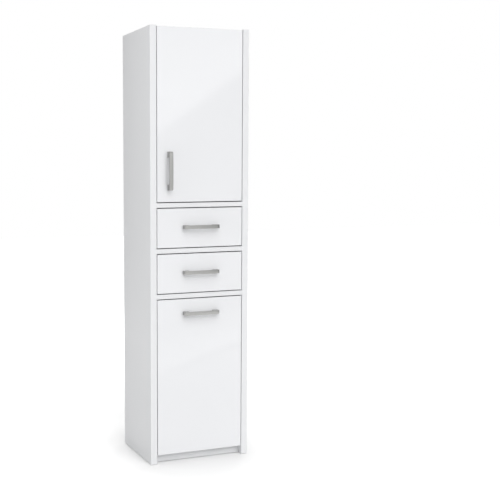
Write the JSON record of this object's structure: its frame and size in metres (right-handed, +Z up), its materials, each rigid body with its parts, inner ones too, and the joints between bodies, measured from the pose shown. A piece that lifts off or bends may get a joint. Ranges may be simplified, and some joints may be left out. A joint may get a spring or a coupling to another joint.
{
  "type": "bathroom storage tower",
  "caption": "Tall narrow bathroom cabinet with a hinged door over drawers on roller runners, and a tip-out laundry flap with a wire basket.",
  "frame": {"origin": "on the floor, in the middle of the width, and in the middle of the depth taken over the handles", "axes": "+X to the right as seen from the front, +Y to the back, +Z up"},
  "size_m": [0.45, 0.358, 1.83],
  "materials": {
    "white_board": "white melamine on chipboard, satin",
    "back_board": "white lacquered hardboard, satin",
    "gloss_front": "white high gloss foil on fibreboard",
    "satin_nickel": "satin nickel plated die casting",
    "hinge_nickel": "nickel plated pressed steel",
    "zinc_steel": "zinc plated steel",
    "runner_coat": "white powder coated steel",
    "nylon": "white moulded plastic",
    "clear_bumper": "clear soft dot",
    "basket_wire": "white plastic coated wire"
  },
  "bodies": {
    "carcass": {"side_panel_left": "white_board", "side_panel_right": "white_board", "top_panel": "white_board", "divider_upper": "white_board", "divider_middle": "white_board", "divider_lower": "white_board", "bottom_panel": "white_board", "plinth_front": "white_board", "plinth_rear": "white_board", "back_panel": "back_board", "shelf": "white_board", "shelf_pins": "zinc_steel", "cam_locks": "zinc_steel", "cam_bolts": "zinc_steel", "floor_glides": "nylon", "wall_bracket": "zinc_steel", "wood_screws": "zinc_steel", "hinge_plates": "hinge_nickel", "hinge_arms": "hinge_nickel", "carcass_runners": "runner_coat", "pivot_pins": "zinc_steel", "stay_studs": "zinc_steel"},
    "door": {"door_panel": "gloss_front", "door_handle": "satin_nickel", "door_handle_screws": "zinc_steel", "hinge_cups": "hinge_nickel", "hinge_cup_screws": "zinc_steel", "door_bumpers": "clear_bumper"},
    "hinge_links": {"hinge_links": "hinge_nickel"},
    "drawer_upper": {"drawer_front_upper": "gloss_front", "drawer_sides_upper": "white_board", "drawer_back_upper": "white_board", "drawer_bottom_upper": "back_board", "drawer_handle_upper": "satin_nickel", "drawer_handle_screws_upper": "zinc_steel", "drawer_runners_upper": "runner_coat"},
    "front_rollers_upper": {"front_rollers_upper": "nylon"},
    "rear_rollers_upper": {"rear_rollers_upper": "nylon"},
    "drawer_lower": {"drawer_front_lower": "gloss_front", "drawer_sides_lower": "white_board", "drawer_back_lower": "white_board", "drawer_bottom_lower": "back_board", "drawer_handle_lower": "satin_nickel", "drawer_handle_screws_lower": "zinc_steel", "drawer_runners_lower": "runner_coat"},
    "front_rollers_lower": {"front_rollers_lower": "nylon"},
    "rear_rollers_lower": {"rear_rollers_lower": "nylon"},
    "flap": {"flap_panel": "gloss_front", "flap_handle": "satin_nickel", "flap_handle_screws": "zinc_steel", "flap_bushes": "nylon", "stay_arms": "zinc_steel", "basket_front": "basket_wire", "basket_back": "basket_wire", "basket_left": "basket_wire", "basket_right": "basket_wire", "basket_bottom": "basket_wire", "basket_clips": "nylon"}
  },
  "joints": [
    {"name": "door_swing", "type": "hinge", "parent": "carcass", "child": "door", "pos_m": [0.194, -0.151, 1.468], "axis": [0, 0, 1], "range_deg": [0, 100]},
    {"name": "hinge_link_pivot", "type": "hinge", "parent": "carcass", "child": "hinge_links", "pos_m": [0.1851, -0.1302, 1.468], "axis": [0, 0, 1], "range_deg": [0, 92]},
    {"name": "drawer_slide_upper", "type": "slide", "parent": "carcass", "child": "drawer_upper", "axis": [0, -1, 0], "range_m": [0, 0.22]},
    {"name": "front_roller_spin_upper", "type": "hinge", "parent": "carcass", "child": "front_rollers_upper", "pos_m": [0, -0.12, 0.9534], "axis": [1, 0, 0], "range_deg": [0, 1580]},
    {"name": "rear_roller_spin_upper", "type": "hinge", "parent": "drawer_upper", "child": "rear_rollers_upper", "pos_m": [0, 0.139, 0.9519], "axis": [1, 0, 0], "range_deg": [0, 1664]},
    {"name": "drawer_slide_lower", "type": "slide", "parent": "carcass", "child": "drawer_lower", "axis": [0, -1, 0], "range_m": [0, 0.22]},
    {"name": "front_roller_spin_lower", "type": "hinge", "parent": "carcass", "child": "front_rollers_lower", "pos_m": [0, -0.12, 0.7624], "axis": [1, 0, 0], "range_deg": [0, 1580]},
    {"name": "rear_roller_spin_lower", "type": "hinge", "parent": "drawer_lower", "child": "rear_rollers_lower", "pos_m": [0, 0.139, 0.7609], "axis": [1, 0, 0], "range_deg": [0, 1664]},
    {"name": "flap_tilt", "type": "hinge", "parent": "carcass", "child": "flap", "pos_m": [0, -0.143, 0.065], "axis": [1, 0, 0], "range_deg": [0, 26]}
  ],
  "couplings": [
    {"joint": "hinge_link_pivot", "follows": "door_swing", "ratio": 0.92},
    {"joint": "front_roller_spin_upper", "follows": "drawer_slide_upper", "rad_per_m": 125},
    {"joint": "rear_roller_spin_upper", "follows": "drawer_slide_upper", "rad_per_m": 131.58},
    {"joint": "front_roller_spin_lower", "follows": "drawer_slide_lower", "rad_per_m": 125},
    {"joint": "rear_roller_spin_lower", "follows": "drawer_slide_lower", "rad_per_m": 131.58}
  ]
}
